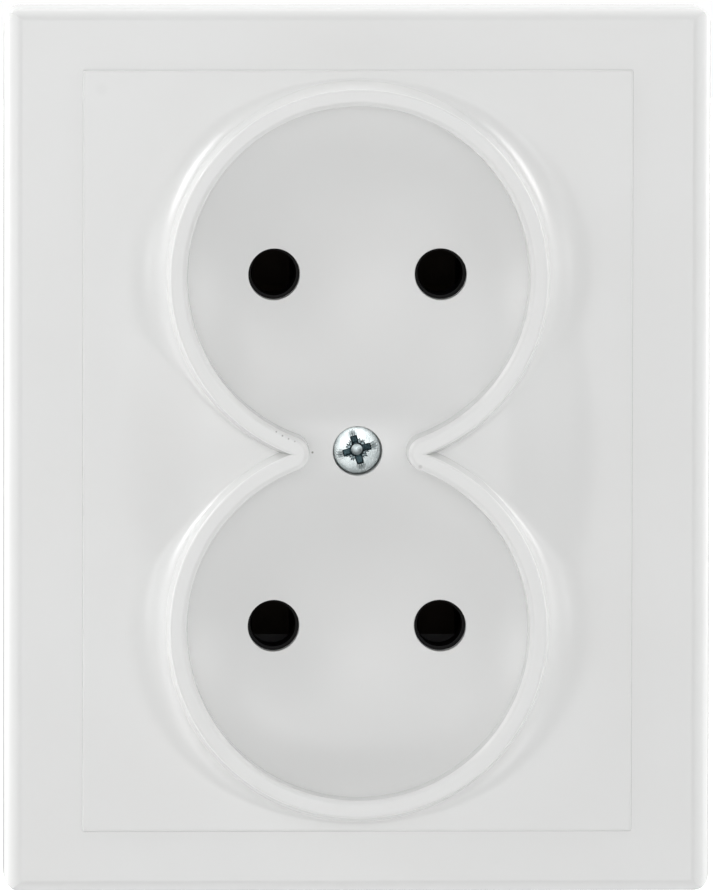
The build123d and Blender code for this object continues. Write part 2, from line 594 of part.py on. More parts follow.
def claw_section():
    """Side view of the right claw: lever under the screw, knuckle on the pin, arm with a toothed foot."""
    half = CLAW_THICKNESS / 2
    lever = Pos(-(CLAW_LEVER + CLAW_LEVER_OVERHANG) / 2, 0) * Rectangle(
        CLAW_LEVER + CLAW_LEVER_OVERHANG, CLAW_THICKNESS
    )
    arm = make_face(
        Polyline(
            (-half, 0),
            (CLAW_ARM_LEAN - half, -CLAW_ARM_LENGTH),
            (CLAW_ARM_LEAN + half + CLAW_TOOTH_REACH, -CLAW_ARM_LENGTH),
            (CLAW_ARM_LEAN + half, -CLAW_ARM_LENGTH + 2 * CLAW_TOOTH_REACH),
            (half, 0),
            close=True,
        )
    )
    return lever + arm + Circle(CLAW_KNUCKLE_RADIUS)


def claw():
    """Pressed steel claw that swings out on its pin and bites into the side of the wall box."""
    body = extrude(Plane.XZ * claw_section(), CLAW_WIDTH / 2, both=True)
    body -= Cylinder(HINGE_PIN_RADIUS + HINGE_PIN_PLAY, 2 * CLAW_WIDTH, rotation=(90, 0, 0))
    pitch = CLAW_WIDTH / CLAW_TEETH
    tooth_x = CLAW_ARM_LEAN + CLAW_THICKNESS / 2 + CLAW_TOOTH_REACH
    for i in range(CLAW_TEETH - 1):
        y = (i + 1) * pitch - CLAW_WIDTH / 2
        notch = Rot(0, 0, 45) * Box(CLAW_TOOTH_REACH, CLAW_TOOTH_REACH, 2 * CLAW_ARM_LENGTH)
        body -= Pos(tooth_x, y, -CLAW_ARM_LENGTH) * notch
    return Pos(PIVOT_X, 0, -CLAW_PIVOT_DEPTH) * body


def claw_pin():
    """Hinge pin with a small head at each end."""
    pin = Cylinder(HINGE_PIN_RADIUS, 2 * LUG_OUTER_Y, rotation=(90, 0, 0))
    head = Cylinder(HINGE_HEAD_RADIUS, HINGE_HEAD_THICKNESS, rotation=(90, 0, 0))
    pin += up_and_down(Pos(0, LUG_OUTER_Y + HINGE_HEAD_THICKNESS / 2, 0) * head)
    return Pos(PIVOT_X, 0, -CLAW_PIVOT_DEPTH) * pin


def claw_screw():
    """Screw through the bridge with a rounded end that pushes the claw's lever back."""
    top = CLAW_SCREW_SEAT_Z + CLAW_SCREW_HEAD_HEIGHT
    crown = disc(CLAW_SCREW_HEAD_RADIUS, CLAW_SCREW_SEAT_Z, top)
    crown = fillet(crown.edges().sort_by(Axis.Z)[-1], SCREW_CROWN_ROUND)
    neck_z = CLAW_SCREW_TIP_Z + CLAW_SCREW_TIP_RADIUS
    shank = disc(SCREW_RADIUS, neck_z, CLAW_SCREW_SEAT_Z)
    tip = Pos(0, 0, neck_z) * Sphere(CLAW_SCREW_TIP_RADIUS)
    return Pos(CLAW_SCREW_X, 0, 0) * (crown + shank + tip - cross_recess(top))


def build_nodes():
    """Every piece by its name, in the bench frame."""
    nodes = {
        "outer_frame": outer_frame(),
        "cover_plate": cover_plate(),
        "cover_screw": cover_screw(),
        "cover_nut": cover_nut(),
        "front_insulator": front_insulator(),
        "rear_housing": rear_housing(),
        "mounting_bridge": mounting_bridge(),
    }
    for level in ("upper", "lower"):
        nodes[f"{level}_housing_screw"] = placed(housing_screw(), "right", level)
    makers = {
        "contact": contact,
        "contact_clip": contact_clip,
        "terminal_block": terminal_block,
        "terminal_screw": terminal_screw,
    }
    for side in ("left", "right"):
        nodes[f"{side}_bus_bar"] = placed(bus_bar(), side, "upper")
        nodes[f"{side}_claw"] = placed(claw(), side, "upper")
        nodes[f"{side}_claw_pin"] = placed(claw_pin(), side, "upper")
        nodes[f"{side}_claw_screw"] = placed(claw_screw(), side, "upper")
        for level in ("upper", "lower"):
            for name, maker in makers.items():
                nodes[f"{level}_{side}_{name}"] = placed(maker(), side, level)
    return nodes


os.makedirs("parts", exist_ok=True)
for node_name, piece in build_nodes().items():
    export_step(Rot(90, 0, 0) * piece, f"parts/{node_name}.step")
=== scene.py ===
"""Looks of a white double wall socket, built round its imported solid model."""

import json
import logging
import math
from dataclasses import dataclass, field
from enum import Enum

import bpy
import numpy as np
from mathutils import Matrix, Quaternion, Vector
from mathutils.geometry import delaunay_2d_cdt

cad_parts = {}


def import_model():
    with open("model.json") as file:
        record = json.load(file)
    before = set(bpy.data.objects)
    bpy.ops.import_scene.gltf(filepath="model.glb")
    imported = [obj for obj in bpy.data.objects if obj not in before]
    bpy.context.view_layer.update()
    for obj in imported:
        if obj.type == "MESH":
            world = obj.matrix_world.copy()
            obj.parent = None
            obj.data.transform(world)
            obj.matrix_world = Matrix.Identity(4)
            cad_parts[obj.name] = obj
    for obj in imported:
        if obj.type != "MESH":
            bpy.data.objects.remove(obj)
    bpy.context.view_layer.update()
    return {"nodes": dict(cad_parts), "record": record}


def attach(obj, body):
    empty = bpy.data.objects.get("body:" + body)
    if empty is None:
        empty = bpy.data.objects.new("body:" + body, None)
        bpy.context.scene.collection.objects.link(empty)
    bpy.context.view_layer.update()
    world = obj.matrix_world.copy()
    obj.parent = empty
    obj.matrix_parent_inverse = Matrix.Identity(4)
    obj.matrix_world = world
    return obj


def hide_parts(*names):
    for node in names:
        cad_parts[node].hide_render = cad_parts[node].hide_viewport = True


MM = 0.001
MICRON = 0.000001
UP = np.array((0.0, 0.0, 1.0))
MIRROR = np.array((1, -1))
LOG = logging.getLogger("double_socket")

Pair = tuple[float, float]
Triple = tuple[float, float, float]
Array = np.ndarray
Arrays = tuple[Array, Array]
Socket = bpy.types.NodeSocket


def direction(azimuth: float, elevation: float) -> Vector:
    """Direction from the socket, in degrees to the right of its front and upwards."""
    turn, rise = math.radians(azimuth), math.radians(elevation)
    flat = math.cos(rise)
    return Vector((math.sin(turn) * flat, -math.cos(turn) * flat, math.sin(rise)))


class Finish(Enum):
    """Finishes of the socket's pieces."""

    WHITE_MOULDING = "white_plastic"
    BLACK_MOULDING = "black_plastic"
    ZINC_SCREW = "zinc_screw"
    ZINC_SHEET = "zinc_steel"
    SPRING_STEEL = "spring_steel"
    BRASS = "brass"
    BRONZE = "bronze"


class NodeDesk:
    """Adds and wires the nodes of one material."""

    def __init__(self, name: str) -> None:
        """Start an empty material with an output.

        Args:
            name: The material's name.
        """
        self.material = bpy.data.materials.new(name)
        self.material.use_nodes = True
        self.tree = self.material.node_tree
        self.tree.nodes.clear()
        self.output = self.tree.nodes.new("ShaderNodeOutputMaterial")
        self.place = self.tree.nodes.new("ShaderNodeTexCoord").outputs["Object"]

    def add(self, kind: str, **values: object) -> bpy.types.Node:
        """Add a node and set or wire its inputs.

        Args:
            kind: The node's type name.
            **values: Input names, with underscores for spaces, and what goes into them.

        Returns:
            The new node.
        """
        node = self.tree.nodes.new(kind)
        for name, value in values.items():
            self.feed(node, name.replace("_", " "), value)
        return node

    def feed(self, node: bpy.types.Node, name: str, value: object) -> None:
        """Set one input to a value or wire a socket into it.

        Args:
            node: The node whose input is fed.
            name: The input's name.
            value: A number, a tuple or an output socket.
        """
        if isinstance(value, Socket):
            self.tree.links.new(value, node.inputs[name])
        else:
            node.inputs[name].default_value = value

    def noise(self, scale: float, detail: float = 3.0, stretch: Triple = (1, 1, 1)) -> Socket:
        """Noise in object space.

        Args:
            scale: Cells per metre.
            detail: Octaves.
            stretch: Scale of the coordinates on each axis.

        Returns:
            The noise's value socket.
        """
        mapping = self.add("ShaderNodeMapping", Vector=self.place, Scale=stretch)
        spot = mapping.outputs["Vector"]
        texture = self.add("ShaderNodeTexNoise", Vector=spot, Scale=scale, Detail=detail)
        return texture.outputs["Fac"]

    def ramp(
        self, source: Socket, low: Triple, high: Triple, start: float = 0.3, end: float = 0.7
    ) -> Socket:
        """Colour ramp between two colours.

        Args:
            source: The value that drives the ramp.
            low: Colour at the start.
            high: Colour at the end.
            start: Value where the ramp begins.
            end: Value where the ramp ends.

        Returns:
            The colour socket.
        """
        node = self.add("ShaderNodeValToRGB", Fac=source)
        node.color_ramp.elements[0].position = start
        node.color_ramp.elements[1].position = end
        node.color_ramp.elements[0].color = (*low, 1)
        node.color_ramp.elements[1].color = (*high, 1)
        return node.outputs["Color"]

    def grade(self, source: Socket, low: float, high: float) -> Socket:
        """Spread a 0 to 1 value between two numbers."""
        node = self.add("ShaderNodeMapRange", Value=source, To_Min=low, To_Max=high)
        return node.outputs["Result"]

    def bump(self, height: Socket, depth: float, strength: float = 1.0) -> Socket:
        """Surface relief.

        Args:
            height: The relief's height, 0 to 1.
            depth: Height of the relief in metres.
            strength: How much of it shows.

        Returns:
            The normal socket.
        """
        node = self.add("ShaderNodeBump", Height=height, Distance=depth, Strength=strength)
        return node.outputs["Normal"]

    def mark(self, colour: Socket, mark: "Mark") -> Socket:
        """Darken a small round place, seen from the front.

        Args:
            colour: The colour round it.
            mark: The mark.

        Returns:
            The colour with the mark.
        """
        flat = self.add("ShaderNodeMapping", Vector=self.place, Scale=(1, 0, 1))
        off = self.tree.nodes.new("ShaderNodeVectorMath")
        off.operation = "DISTANCE"
        self.tree.links.new(flat.outputs["Vector"], off.inputs[0])
        off.inputs[1].default_value = (mark.x * MM, 0, mark.y * MM)
        fade = self.add(
            "ShaderNodeMapRange",
            Value=off.outputs["Value"],
            From_Min=mark.core * mark.radius * MM,
            From_Max=mark.radius * MM,
            To_Min=mark.depth,
            To_Max=0.0,
        )
        dirt = (*mark.dirt, 1)
        mix = self.add("ShaderNodeMixRGB", Fac=fade.outputs["Result"], Color1=colour, Color2=dirt)
        return mix.outputs["Color"]

    def surface(self, **values: object) -> bpy.types.Material:
        """Finish the material with a Principled shader.

        Args:
            **values: Inputs of the shader.

        Returns:
            The finished material.
        """
        shader = self.add("ShaderNodeBsdfPrincipled", **values)
        self.tree.links.new(shader.outputs["BSDF"], self.output.inputs["Surface"])
        return self.material


@dataclass(frozen=True)
class Mark:
    """Small dark mark of use, in millimetres right and up from the cover's middle."""

    x: float
    y: float
    radius: float
    depth: float
    core: float = 0.4
    dirt: Triple = (0.1, 0.09, 0.08)


@dataclass(frozen=True)
class WhiteMoulding:
    """Glossy white moulding compound with a faint orange-peel skin and small marks of use."""

    name: str = "white_moulding"
    pale: Triple = (0.745, 0.75, 0.745)
    dark: Triple = (0.735, 0.737, 0.73)
    roughness: float = 0.2
    marks: tuple[Mark, ...] = ()

    def make(self) -> bpy.types.Material:
        """Build the material."""
        desk = NodeDesk(self.name)
        cloud = desk.noise(60, 2)
        skin = desk.noise(900, 3)
        colour = desk.ramp(cloud, self.dark, self.pale)
        for mark in self.marks:
            colour = desk.mark(colour, mark)
        return desk.surface(
            Base_Color=colour,
            Roughness=desk.grade(skin, self.roughness * 0.9, self.roughness * 1.15),
            IOR=1.5,
            Normal=desk.bump(skin, 2 * MICRON, 0.35),
        )


@dataclass(frozen=True)
class BlackMoulding:
    """Black insulating moulding with a satin skin."""

    name: str = "black_moulding"
    dark: Triple = (0.006, 0.006, 0.007)
    pale: Triple = (0.013, 0.013, 0.014)
    smooth: float = 0.22
    rough: float = 0.38
    shine: float = 0.5

    def make(self) -> bpy.types.Material:
        """Build the material."""
        desk = NodeDesk(self.name)
        grain = desk.noise(2600, 4)
        cloud = desk.noise(140, 2)
        return desk.surface(
            Base_Color=desk.ramp(cloud, self.dark, self.pale),
            Roughness=desk.grade(cloud, self.smooth, self.rough),
            Specular_IOR_Level=self.shine,
            IOR=1.5,
            Normal=desk.bump(grain, 6 * MICRON, 0.4),
        )


@dataclass(frozen=True)
class PlatedMetal:
    """Bare or plated metal with fine scratches and clouded tone."""

    name: str
    low: Triple
    high: Triple
    smooth: float
    rough: float
    grain: Triple = (1, 1, 1)

    def make(self) -> bpy.types.Material:
        """Build the material."""
        desk = NodeDesk(self.name)
        cloud = desk.noise(420, 4)
        brushing = desk.noise(2400, 2, self.grain)
        return desk.surface(
            Base_Color=desk.ramp(cloud, self.low, self.high),
            Metallic=1.0,
            Roughness=desk.grade(cloud, self.smooth, self.rough),
            Normal=desk.bump(brushing, 8 * MICRON, 0.5),
        )


@dataclass(frozen=True)
class ScrewHeadWearAndShade:
    """Bright plating, with painted shade that makes the recess dark and bluish, and fine driver
    marks.
    """

    bright: Triple = (0.54, 0.58, 0.58)
    cloudy: Triple = (0.39, 0.435, 0.44)
    # Painted shade with wear: colours of the recess, darkened by its depth, and of the driver's
    # marks.
    shade_and_wear: Triple = (0.035, 0.065, 0.075)
    pale_shade_and_wear: Triple = (0.1, 0.15, 0.165)

    def make(self) -> bpy.types.Material:
        """Build the material."""
        desk = NodeDesk("screw_head_wear_and_painted_shade")
        cloud = desk.noise(1500, 4)
        marks = desk.noise(9000, 3, (1, 1, 0.25))
        # Painted shade: the recess is darkened by its depth, mixed with the driver's wear marks.
        recess = desk.tree.nodes.new("ShaderNodeAttribute")
        recess.attribute_name = "recess"
        shade_and_wear_colour = desk.ramp(marks, self.shade_and_wear, self.pale_shade_and_wear, 0.35, 0.75)
        plating = desk.ramp(cloud, self.cloudy, self.bright)
        deep = recess.outputs["Fac"]
        colour = desk.add("ShaderNodeMixRGB", Fac=deep, Color1=plating, Color2=shade_and_wear_colour)
        return desk.surface(
            Base_Color=colour.outputs["Color"],
            Metallic=1.0,
            Roughness=desk.grade(cloud, 0.18, 0.34),
            Normal=desk.bump(marks, 20 * MICRON, 0.5),
        )


Recipe = WhiteMoulding | BlackMoulding | PlatedMetal
RECIPES: dict[Finish, Recipe] = {
    Finish.WHITE_MOULDING: WhiteMoulding(),
    Finish.BLACK_MOULDING: BlackMoulding(),
    Finish.ZINC_SCREW: PlatedMetal("zinc_screw", (0.42, 0.46, 0.52), (0.66, 0.68, 0.72), 0.22, 0.4),
    Finish.ZINC_SHEET: PlatedMetal(
        "zinc_sheet", (0.5, 0.52, 0.54), (0.66, 0.67, 0.68), 0.3, 0.5, grain=(1, 1, 12)
    ),
    Finish.SPRING_STEEL: PlatedMetal(
        "spring_steel", (0.3, 0.31, 0.33), (0.42, 0.43, 0.45), 0.25, 0.45
    ),
    Finish.BRASS: PlatedMetal("brass", (0.66, 0.47, 0.2), (0.8, 0.6, 0.3), 0.22, 0.42),
    # Painted shade: the bronze contacts are made nearly black to stand in for the shade deep inside
    # the pin holes.
    Finish.BRONZE: PlatedMetal("bronze", (0.006, 0.005, 0.004), (0.014, 0.011, 0.009), 0.4, 0.6),
}
# Painted shade: the bus bars' brass is made nearly black to stand in for the shade deep inside the
# pin holes.
SHADE_DARK_BRASS = PlatedMetal("painted_shade_brass", (0.01, 0.008, 0.005), (0.02, 0.016, 0.01), 0.45, 0.6)
# Partly painted shade: the collars are black moulding, made darker and duller than it to stand in
# for the shade inside the pin holes.
COLLAR_WITH_SHADE = BlackMoulding(
    "collar_moulding_painted_shade", (0.002, 0.002, 0.002), (0.004, 0.004, 0.004), 0.4, 0.5, shine=0.12
)
# Finishes that paint the shade inside the pin holes onto the pieces seen through them.
HOLE_SHADE_FINISH = {
    "front_insulator": COLLAR_WITH_SHADE,
    "left_bus_bar": SHADE_DARK_BRASS,
    "right_bus_bar": SHADE_DARK_BRASS,
}
COVER_MARKS = (
    Mark(-5.15, -0.1, 0.16, 0.75),
    Mark(7.0, -1.4, 0.3, 0.25),
    Mark(-9.4, 2.6, 0.13, 0.5),
    Mark(-8.7, 2.15, 0.13, 0.6),
    Mark(-8.0, 1.8, 0.13, 0.5),
    Mark(-7.3, 1.5, 0.12, 0.4),
    Mark(-29.2, 41.4, 0.9, 0.03),
)


@dataclass
class FinishShelf:
    """Every finish, made once."""

    made: dict[Finish, bpy.types.Material] = field(default_factory=dict)

    def stock(self) -> None:
        """Build all materials."""
        for finish, recipe in RECIPES.items():
            self.made[finish] = recipe.make()

    def dress(self, piece: bpy.types.Object, finish: Finish, inner: Recipe | None = None) -> None:
        """Give a piece one finish all over.

        Args:
            piece: The object to dress.
            finish: Its finish.
            inner: A darker, duller finish with painted shade, for a piece that is seen through the
                pin holes alone.
        """
        material = inner.make() if inner else self.made[finish]
        if not piece.data.materials:
            piece.data.materials.append(material)
        for slot in piece.material_slots:
            slot.material = material


def at_level(points: Array, level: Array | float) -> Array:
    """Points across and up, given their level out of the wall."""
    return np.column_stack([points, np.broadcast_to(level, len(points))])


def closed(loops: list[Array]) -> Array:
    """Loops of points with each first point repeated at its end."""
    return np.stack([np.concatenate([loop, loop[:1]]) for loop in loops])


def spokes(angles: Array) -> Array:
    """Unit directions at some angles."""
    return np.stack([np.cos(angles), np.sin(angles)], axis=1)


class Sheets:
    """Smooth patches with their own normals, gathered into one mesh.

    Points are in millimetres in the bench frame: x right, y up, z out of the wall.
    """

    def __init__(self) -> None:
        """Start with no patch."""
        self.points: list[Array] = []
        self.normals: list[Array] = []
        self.faces: list[Array] = []
        self.count = 0

    def add(self, points: Array, normals: Array, faces: Array) -> None:
        """Add one patch, with its faces turned to agree with its normals.

        Args:
            points: Places of the patch's corners.
            normals: A normal for each corner, or one for all.
            faces: Corner numbers of each face, three or four a row.
        """
        normals = np.broadcast_to(normals, points.shape)
        normals = normals / np.linalg.norm(normals, axis=1, keepdims=True)
        first, middle, last = points[faces[:, 0]], points[faces[:, 1]], points[faces[:, -1]]
        opposite = points[faces[:, 2]]
        if faces.shape[1] == 4:
            across = np.cross(opposite - first, last - middle)
        else:
            across = np.cross(middle - first, last - first)
        size = np.linalg.norm(across, axis=1)
        agrees = (across * normals[faces].sum(axis=1)).sum(axis=1) > 0
        faces = np.where(agrees[:, None], faces, faces[:, ::-1])[size > 1e-7]
        self.points.append(points)
        self.normals.append(normals)
        self.faces.append(faces + self.count)
        self.count += len(points)

    def grid(self, points: Array, normals: Array) -> None:
        """Add a patch that is a grid of points.

        Args:
            points: Rows of points.
            normals: A normal for each point, for each column or for all.
        """
        rows, columns = points.shape[:2]
        number = np.arange(rows * columns).reshape(rows, columns)
        corners = (number[:-1, :-1], number[1:, :-1], number[1:, 1:], number[:-1, 1:])
        faces = np.stack([corner.ravel() for corner in corners], axis=1)
        normals = np.broadcast_to(normals, points.shape)
        self.add(points.reshape(-1, 3), normals.reshape(-1, 3), faces)

    def twin(self, points: Array, normals: Array) -> None:
        """Add a grid and its mirror image below the waist."""
        flip = (1.0, -1.0, 1.0)
        self.grid(points, normals)
        self.grid(points * flip, normals * flip)

    def lathe(self, profile: list[Pair], centre: Pair = (0, 0), turns: int = 64) -> None:
        """Add a body of revolution, crisp at each corner of its profile.

        Args:
            profile: Radius and level of each corner, in order, with the outside on the left.
            centre: Place of the axis.
            turns: Number of steps round the axis.
        """
        angle = np.linspace(0, 2 * np.pi, turns + 1)
        spoke = spokes(angle)
        for (near, low), (far, high) in zip(profile, profile[1:]):
            ends = ((near, low), (far, high))
            loops = [at_level(spoke * radius + centre, level) for radius, level in ends]
            self.grid(np.stack(loops), at_level(spoke * (low - high), far - near))

    def build(self, name: str) -> bpy.types.Object:
        """Make the object.

        Args:
            name: The object's name.

        Returns:
            The object, with smooth patches.
        """
        points, normals = np.concatenate(self.points), np.concatenate(self.normals)
        faces = [face for patch in self.faces for face in patch.tolist()]
        mesh = bpy.data.meshes.new(name)
        places = points[:, [0, 2, 1]] * (MM, -MM, MM)
        mesh.from_pydata(places.tolist(), [], faces, shade_flat=False)
        mesh.normals_split_custom_set_from_vertices((normals[:, [0, 2, 1]] * (1, -1, 1)).tolist())
        piece = bpy.data.objects.new(name, mesh)
        bpy.context.scene.collection.objects.link(piece)
        return piece


def inside(points: Array, loop: Array) -> Array:
    """Which points lie inside a closed outline.

    Args:
        points: Places to test, two numbers each.
        loop: The outline's corners in order.

    Returns:
        True for each point inside.
    """
    result = np.zeros(len(points), bool)
    for (x0, y0), (x1, y1) in zip(loop, np.roll(loop, -1, axis=0)):
        if y0 != y1:
            spans = (points[:, 1] < y0) != (points[:, 1] < y1)
            result ^= spans & (points[:, 0] < (x1 - x0) * (points[:, 1] - y0) / (y1 - y0) + x0)
    return result


def between(points: Array, outline: Array, holes: list[Array]) -> Array:
    """Which points lie inside an outline and outside its holes."""
    return inside(points, outline) & ~np.any([inside(points, hole) for hole in holes], axis=0)


def ring(radius: float, x: float = 0.0, y: float = 0.0, steps: int = 72) -> Array:
    """Points round a circle."""
    return spokes(np.linspace(0, 2 * np.pi, steps, endpoint=False)) * radius + (x, y)


def whole(upper: Array) -> Array:
    """A loop made of its upper half and that half's mirror image below the waist."""
    return np.concatenate([upper, upper[-2:0:-1] * MIRROR])


def filled(outline: Array, holes: list[Array], spacing: float) -> Arrays:
    """Triangles that fill an outline with holes.

    Args:
        outline: Corners of the outline.
        holes: Corners of each hole.
        spacing: Distance between the points laid inside.

    Returns:
        The points and the triangles' corner numbers.
    """
    loops = [outline, *holes]
    rim = np.concatenate(loops)
    low, high = outline.min(axis=0), outline.max(axis=0)
    row_gap = spacing * 0.866
    x, y = np.meshgrid(np.arange(low[0], high[0], spacing), np.arange(low[1], high[1], row_gap))
    x[1::2] += spacing / 2
    laid = np.stack([x.ravel(), y.ravel()], axis=1)
    laid = laid[between(laid, outline, holes)]
    apart = spacing * 0.4
    clear = np.array([np.min(np.hypot(*(rim - point).T)) > apart for point in laid], bool)
    laid = np.concatenate([rim, laid[clear]]) if len(laid) else rim
    points = [Vector(point) for point in laid]
    edges, start = [], 0
    for loop in loops:
        size = len(loop)
        edges += [(start + i, start + (i + 1) % size) for i in range(size)]
        start += size
    corners, _, faces, *_ = delaunay_2d_cdt(points, edges, [], 0, 1e-6)
    corners, faces = np.array([tuple(corner) for corner in corners]), np.array(faces)
    return corners, faces[between(corners[faces].mean(axis=1), outline, holes)]


@dataclass(frozen=True)
class WellFloor:
    """Two dished floors and the soft crest between them."""

    centre_y: float = 20.1
    centre_z: float = 76.0
    dish: float = 70.0
    crest: float = 18.0
    cove_start: float = 13.2
    cove_width: float = 6.0
    cove_rise: float = 0.5
    cove_away: float = 3.0
    cove_fade: float = 9.0

    def cove(self, x: Array, y: Array) -> Array:
        """Rise of the floor towards the wall of its well, none at the waist."""
        reach = np.hypot(x, np.abs(y) - self.centre_y)
        share = np.clip((reach - self.cove_start) / self.cove_width, 0, None)
        away = np.clip((np.abs(y) - self.cove_away) / self.cove_fade, 0, 1)
        return self.cove_rise * share**2 * away**2 * (3 - 2 * away)

    def level(self, x: Array, y: Array) -> Arrays:
        """Level and normal of the floor.

        Args:
            x: Places across.
            y: Places up.

        Returns:
            The levels and the normals.
        """
        reach = math.sqrt((self.dish + self.crest) ** 2 - self.centre_y**2)
        tangent = self.centre_y * self.crest / (self.dish + self.crest)
        off = np.abs(y) - self.centre_y
        drop = np.sqrt(self.dish**2 - x**2 - off**2)
        dished = np.stack([-x, -off * np.sign(y), drop], axis=-1) / self.dish
        waist = np.clip(np.abs(y), 0, tangent)
        radius = reach - np.sqrt(self.crest**2 - waist**2)
        fall = np.sqrt(np.clip(radius**2 - x**2, 0, None))
        middle = reach / radius
        ridge = np.stack([x - x * middle, y, -fall + fall * middle], axis=-1) / self.crest
        on_crest = np.abs(y) < tangent
        level = np.where(on_crest, self.centre_z - fall, self.centre_z - drop)
        normal = np.where(on_crest[..., None], ridge, dished)
        step = 0.01
        rise_x = (self.cove(x + step, y) - self.cove(x - step, y)) / (2 * step)
        rise_y = (self.cove(x, y + step) - self.cove(x, y - step)) / (2 * step)
        lean = np.stack([rise_x, rise_y, np.zeros_like(rise_x)], axis=-1)
        normal = normal - lean * normal[..., 2:]
        return level + self.cove(x, y), normal / np.linalg.norm(normal, axis=-1, keepdims=True)


@dataclass(frozen=True)
class PlateRelief:
    """Front of the centre plate round its wells: flares at the sides and a low web at the waist."""

    plate: float = 8.28
    rise: float = 3.6
    radius: float = 21.5
    centre_y: float = 20.1
    side: float = 6.3
    end: float = 0.9
    shift: float = 0.3
    hollow: float = 1.3
    web_toe: Pair = (27.8, 40.0)
    web_top: Pair = (16.5, 25.0)
    web_rise: float = 1.5
    blend: float = 5.0

    def beyond(self, x: Array, y: Array, spread: Array | float) -> Array:
        """How far places lie beyond an ellipse of the flare, from its top at 0 to its foot at 1."""
        across = x / (self.radius + self.side * spread)
        along = (y - self.centre_y - self.shift * spread) / (self.radius + self.end * spread)
        return across**2 + along**2 - 1

    def flare(self, x: Array, y: Array) -> Arrays:
        """Height of the upper flare above the plate, and its slope.

        Args:
            x: Places across.
            y: Places up.

        Returns:
            The heights and the slopes across and up.
        """
        steps = np.linspace(0, 1, 61)
        low, high = np.zeros_like(x), np.ones_like(x)
        found = np.zeros(x.shape, bool)
        for before, after in zip(steps, steps[1:]):
            crossing = ~found & (self.beyond(x, y, before) > 0) & (self.beyond(x, y, after) <= 0)
            low, high = np.where(crossing, before, low), np.where(crossing, after, high)
            found |= crossing
        for _ in range(30):
            half = (low + high) / 2
            outside = self.beyond(x, y, half) > 0
            low, high = np.where(outside, half, low), np.where(outside, high, half)
        spread = np.clip((low + high) / 2, 1e-4, 1)
        wide, tall = self.radius + self.side * spread, self.radius + self.end * spread
        off = y - self.centre_y - self.shift * spread
        by_x, by_y = 2 * x / wide**2, 2 * off / tall**2
        by_spread = -2 * x**2 * self.side / wide**3
        by_spread = by_spread - 2 * off * self.shift / tall**2 - 2 * off**2 * self.end / tall**3
        by_spread = np.where(np.abs(by_spread) < 1e-6, -1e-6, by_spread)
        near = np.clip(1 - spread, 1e-6, 1)
        sine = np.minimum(near**self.hollow, 1 - 1e-5)
        cosine = np.sqrt(1 - sine**2)
        height = np.where(found, self.rise * (1 - cosine), 0)
        bend = self.hollow * near ** (self.hollow - 1)
        steep = np.where(found, self.rise * sine / cosine * bend / by_spread, 0)
        return height, np.stack([steep * by_x, steep * by_y], axis=-1)

    def web(self, x: Array, y: Array) -> Arrays:
        """Height of the web above the plate, and its slope.

        Args:
            x: Places across.
            y: Places up.

        Returns:
            The heights and the slopes across and up.
        """
        low, high = np.zeros_like(x), np.ones_like(x)
        span = (self.web_top[0] - self.web_toe[0], self.web_top[1] - self.web_toe[1])
        for _ in range(30):
            half = (low + high) / 2
            wide, tall = self.web_toe[0] + span[0] * half, self.web_toe[1] + span[1] * half
            within = (x / wide) ** 2 + (y / tall) ** 2 < 1
            low, high = np.where(within, half, low), np.where(within, high, half)
        share = (low + high) / 2
        wide, tall = self.web_toe[0] + span[0] * share, self.web_toe[1] + span[1] * share
        by_share = -2 * x**2 * span[0] / wide**3 - 2 * y**2 * span[1] / tall**3
        inner = (share > 0.0001) & (share < 0.9999)
        climb = self.web_rise * np.pi * np.sin(np.pi * share) / 2
        steep = np.where(inner, climb / np.maximum(by_share, 1e-6), 0)
        slope = np.stack([-steep * 2 * x / wide**2, -steep * 2 * y / tall**2], axis=-1)
        return self.web_rise * (1 - np.cos(np.pi * share)) / 2, slope

    def level(self, x: Array, y: Array) -> Arrays:
        """Level and normal of the upper half's face.

        Args:
            x: Places across.
            y: Places up.

        Returns:
            The levels and the normals.
        """
        flare, flare_slope = self.flare(x, y)
        web, web_slope = self.web(x, y)
        height = (flare**self.blend + web**self.blend) ** (1 / self.blend)
        safe = np.maximum(height, 1e-9)
        share = [(part / safe) ** (self.blend - 1) for part in (flare, web)]
        slope = share[0][..., None] * flare_slope + share[1][..., None] * web_slope
        return self.plate + height, np.concatenate([-slope, np.ones(x.shape + (1,))], axis=-1)


